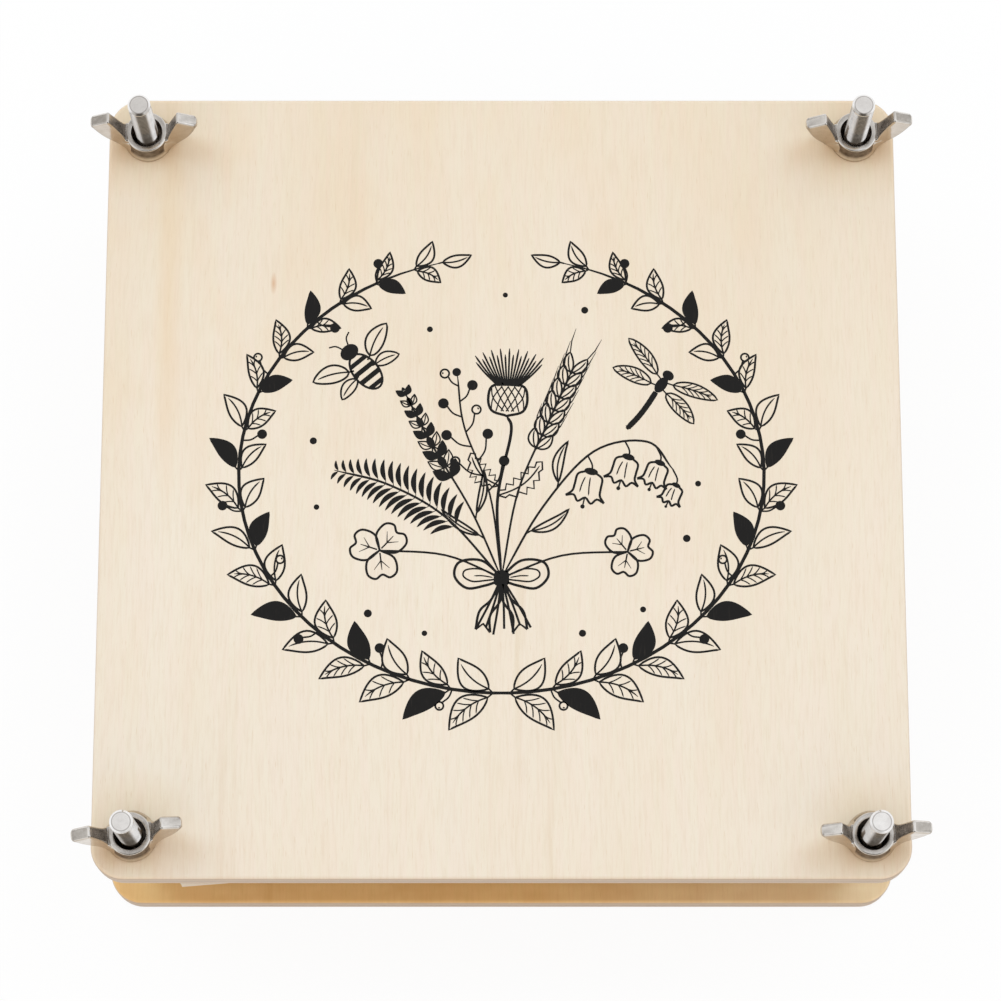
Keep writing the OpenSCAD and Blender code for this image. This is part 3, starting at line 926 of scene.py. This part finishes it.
def whole_print():
    """The wreath, the bunch inside it, two insects above and a few dots."""
    branch = wreath_branch()
    drawing = branch + moved(branch, 0, 180, flipped=True)
    tie = -27j
    stems = ((lavender(54), 27), (fern(51), 49), (bud_spray(53), 12), (thistle(56), -2), (wheat(56), -15),
             (bell_stem(49), -27))
    for stem, degrees in stems:
        drawing += moved(stem, tie, degrees)
    for size, head, turn, bow_out in ((6.6, 31 * aim(167), 72, 15 * np.exp(2.75j)),
                                      (5.6, 32 * aim(12), -76, 16 * np.exp(0.36j))):
        drawing += moved(clover(size), tie + head, turn)
        drawing += line(tie + flowing([0, bow_out, head], 6), 0.55)
    for number, lean in enumerate((-26, -17, -8, 3, 12, 21, 30)):
        foot = (14.5 - number % 2 * 1.6) * aim(lean - 90)
        drawing += line(tie + flowing([0, foot / 2 + 0.2, foot], 5), 0.6, 1, 1)
    drawing += moved(bow(), tie)
    drawing += moved(bee(), -34 + 26j, 40, 0.85)
    drawing += moved(dragonfly(), 39 + 21j, -36, 0.76)
    for place, size in DOTS:
        drawing += fill(oval(size, size, 14) + place)
    return moved(drawing, 2j, size=1.05)


def ink_shell(drawing):
    """Thin closed shells on the board's face. A stroke's two edges stand off its path by half its width,
    square to its way; a fill is its outline raised. Each stroke is a step higher than the last, through some
    levels and then from the lowest again."""
    shells = []
    for number, (kind, path, width) in enumerate(drawing):
        top = INK_HEIGHT + number % INK_LEVELS * INK_STEP
        if kind == "fill":
            around = np.sum(path.real * np.roll(path, -1).imag - path.imag * np.roll(path, -1).real)
            path = path if around > 0 else path[::-1]
            edges, heights = np.stack([path, path]), np.array([[0.0], [top]])
        else:
            ahead = np.roll(path, -1) - np.roll(path, 1) if kind == "loop" else np.gradient(path)
            off = 0.5j * width * ahead / np.abs(ahead)
            edges = np.stack([path + off, path - off, path - off, path + off], axis=1)
            heights = np.array([[top, top, 0, 0]])
        heights = heights + np.zeros(edges.shape)
        ring_points = np.stack([edges.real, edges.imag, heights], axis=-1)
        shells.append(tube_shell(ring_points, round_rows=kind == "loop"))
    points, faces = joined(shells)
    return points * MM + np.array([0, 0, face_z]), faces


add_piece("line_print", ink_shell(whole_print()), INK, "top_board", crease=60)

# Card and paper
LINER = 0.28 * MM
MEDIUM = 0.22 * MM
FLUTE_PITCH = 7.6 * MM
FLUTE_STEPS = 14
CORNER_CUT = 15.9 * MM
SHEET_INSET = 0.7 * MM
PAPER_SHARE = 0.96
MOST_SHIFT = 0.5 * MM
MOST_TURN = 0.15
shuffle = np.random.default_rng(12)


def sheet_reach(low, high):
    """How far a sheet reaches to the side and to the back, with room left to lie out of line."""
    return min(-low.x, high.x) - SHEET_INSET, min(-low.y, high.y) - SHEET_INSET


def ply_sheet(x, middle, reach, thickness):
    """One thin ply with cut corners: at each place across it runs from front to back as far as the cut
    corners let it, at a height given for that place, and its two skins are half a thickness off that."""
    half_depth = np.minimum(reach[1], reach[0] + reach[1] - CORNER_CUT - np.abs(x))
    slope = np.gradient(middle, x)
    length = np.sqrt(1 + slope**2)
    off_x, off_z = -slope / length * thickness / 2, thickness / 2 / length
    skins = []
    for side, end in ((1, -1), (1, 1), (-1, 1), (-1, -1)):
        skins.append(np.stack([x + side * off_x, end * half_depth, middle + side * off_z], axis=-1))
    return tube_shell(np.stack(skins, axis=1))


def flat_sheet(level, reach, thickness):
    """A flat ply, with points across only where its outline turns and in the middle."""
    cut_x = reach[0] - CORNER_CUT
    x = np.array([-reach[0], -cut_x, 0, cut_x, reach[0]])
    return ply_sheet(x, np.full(len(x), level), reach, thickness)


def settled(shell):
    """A sheet with a small seeded shift and turn in its own plane, as one laid in by hand has."""
    points, faces = shell
    shift = shuffle.uniform(-MOST_SHIFT, MOST_SHIFT, 2)
    points = turned(points, shuffle.uniform(-MOST_TURN, MOST_TURN))
    points[..., :2] += shift
    return points, faces


def card_shell(low, high, phase):
    """Corrugated board: two flat liners and between them a sine wave whose ridges run front to back."""
    reach = sheet_reach(low, high)
    x = np.linspace(-reach[0], reach[0], int(2 * reach[0] / FLUTE_PITCH * FLUTE_STEPS))
    wave_height = (high.z - low.z) / 2 - LINER - MEDIUM / 2
    wave = (low.z + high.z) / 2 + wave_height * np.sin(FULL_TURN * x / FLUTE_PITCH + phase)
    return joined([
        flat_sheet(low.z + LINER / 2, reach, LINER),
        ply_sheet(x, wave, reach, MEDIUM),
        flat_sheet(high.z - LINER / 2, reach, LINER),
    ])


def body_of_layer(number):
    return "base" if number == 1 else f"layer_{number}"


for number in range(1, card_count + 1):
    node = f"cardboard_sheet_{number}"
    low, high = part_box(node)
    card = settled(card_shell(low, high, shuffle.uniform(0, FULL_TURN)))
    add_piece(f"fluted_card_{number}", card, KRAFT, body_of_layer(number), [node])

for number in range(1, card_count):
    for side, body in (("under", body_of_layer(number)), ("over", body_of_layer(number + 1))):
        node = f"blotting_paper_{number}_{side}"
        low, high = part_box(node)
        thickness = (high.z - low.z) * PAPER_SHARE
        paper = settled(flat_sheet((low.z + high.z) / 2, sheet_reach(low, high), thickness))
        add_piece(f"soft_paper_{number}_{side}", paper, PAPER, body, [node])

dress("loose_top_sheet", PAPER)

# Camera, floor and lights
CAMERA_ELEVATION = 76.5
CAMERA_DISTANCE = 0.93
LENS = 128.0
SENSOR_WIDTH = 36.0
AIM = (-0.24 * MM, -5.69 * MM)
LAMP_PLACE = (0.8, 0.6, 1.5)
LAMP_SIZE = 0.8
LAMP_POWER = 7.2
LAMP_SHADE = (0.46, 0.77, 1.04)
ROOM_SHADE = (0.85, 0.735, 0.63, 1)
ROOM_TINT = (("Red", 1.0), ("Green", 1.07), ("Blue", 1.16))
ROOM_LEVELS = ((0.14, 1.0), (0.2, 0.6), (0.34, 0.6), (0.46, 1.0))
DARK_PATCH_WAY = (0, -0.76, 0.65)
FLOOR_SHADE = (0.94, 0.95, 0.96, 1)
FLOOR_RADIUS = 6.0
FLOOR_SIDES = 96
FLOOR_DROP = 0.05 * MM
FLOOR_GLOW = 0.93
GLOW_GROWTH = (0.11, 0.3)


def add_camera():
    """A camera on the line that leaves the aimed point at the elevation, over the front."""
    elevation = math.radians(CAMERA_ELEVATION)
    data = bpy.data.cameras.new("camera")
    data.lens = LENS
    data.sensor_width = SENSOR_WIDTH
    data.clip_start = 0.01
    camera = bpy.data.objects.new("camera", data)
    camera.location = (AIM[0], AIM[1] - CAMERA_DISTANCE * math.cos(elevation),
                       face_z + CAMERA_DISTANCE * math.sin(elevation))
    camera.rotation_euler = (math.pi / 2 - elevation, 0, 0)
    bpy.context.scene.collection.objects.link(camera)
    bpy.context.scene.camera = camera


def add_softbox(name, x, y, z):
    """A square lamp aimed at the middle of the press."""
    data = bpy.data.lights.new(name, "AREA")
    data.color = LAMP_SHADE
    data.shape = "SQUARE"
    data.size = LAMP_SIZE
    data.energy = LAMP_POWER
    lamp = bpy.data.objects.new(name, data)
    lamp.location = (x, y, z)
    lamp.visible_glossy = False
    lamp.rotation_euler = (math.atan2(math.hypot(x, y), z), 0, math.atan2(-x, y) + math.pi)
    bpy.context.scene.collection.objects.link(lamp)


def add_world():
    """A pale room. It throws an even light of one shade. Seen or mirrored it is white at the horizon, then
    has a grey band, and is paler to the right and front than to the left and back, with a dark patch high up
    in front."""
    world = bpy.data.worlds.new("studio")
    room = Shades(world)
    way = room.place["Generated"]
    right, back, up = room.split(way)[:3]
    towards = room.node("VectorMath", {0: way, 1: DARK_PATCH_WAY}, operation="DOT_PRODUCT").outputs["Value"]
    patch = room.span(towards, 0.76, 0.93, 1.0, 0.12, "SMOOTHSTEP")
    sideways = room.span(right, -0.2, 0.15, 0.84, 1.0, "SMOOTHSTEP")
    side = room.maths("MULTIPLY", sideways, room.span(back, 0.1, 0.4, 1.0, 0.8, "SMOOTHSTEP"))
    band = room.ramp(up, [(height, (level, level, level, 1)) for height, level in ROOM_LEVELS])
    level = room.maths("MULTIPLY", room.maths("MULTIPLY", patch, side), band)
    above = room.span(up, 0.14, 0.2, 0, 1, "SMOOTHSTEP")
    level = room.node("Mix", {0: above, 2: 1.0, 3: level}).outputs[0]
    parts = {part: room.maths("POWER", level, power) for part, power in ROOM_TINT}
    warmer = room.node("CombineColor", parts).outputs[0]
    shown = room.mix(room.seen_directly(), ROOM_SHADE, warmer)
    room.tree.links.new(shown, room.tree.nodes["Background"].inputs["Color"])
    bpy.context.scene.world = world


def add_floor():
    """A wide pale disc under the press: part white glow where it is seen, all of it far off, and part surface
    that holds a shadow."""
    angle = np.arange(FLOOR_SIDES) / FLOOR_SIDES * FULL_TURN
    rim = (FLOOR_RADIUS * np.cos(angle), FLOOR_RADIUS * np.sin(angle), np.full(FLOOR_SIDES, -FLOOR_DROP))
    mesh = bpy.data.meshes.new("floor")
    mesh.from_pydata(np.stack(rim, axis=-1).tolist(), [], [list(range(FLOOR_SIDES))])
    ground = Finish("floor", Base_Color=FLOOR_SHADE, Roughness=0.9, Specular_IOR_Level=0.0)
    glow = ground.node("Emission", {"Strength": 1.0}).outputs[0]
    far = ground.span(ground.length(ground.place["Object"]), *GLOW_GROWTH, FLOOR_GLOW, 1.0)
    share = ground.maths("MULTIPLY", ground.seen_directly(), far)
    mixed = ground.node("MixShader", {0: share, 1: ground.shader.outputs[0], 2: glow}).outputs[0]
    ground.tree.links.new(mixed, ground.tree.nodes["Material Output"].inputs["Surface"])
    mesh.materials.append(ground.material)
    floor = bpy.data.objects.new("floor", mesh)
    bpy.context.scene.collection.objects.link(floor)


add_camera()
add_world()
add_floor()
for name, side in (("lamp_left", -1), ("lamp_right", 1)):
    add_softbox(name, side * LAMP_PLACE[0], *LAMP_PLACE[1:])
bpy.context.scene.view_settings.view_transform = "Standard"
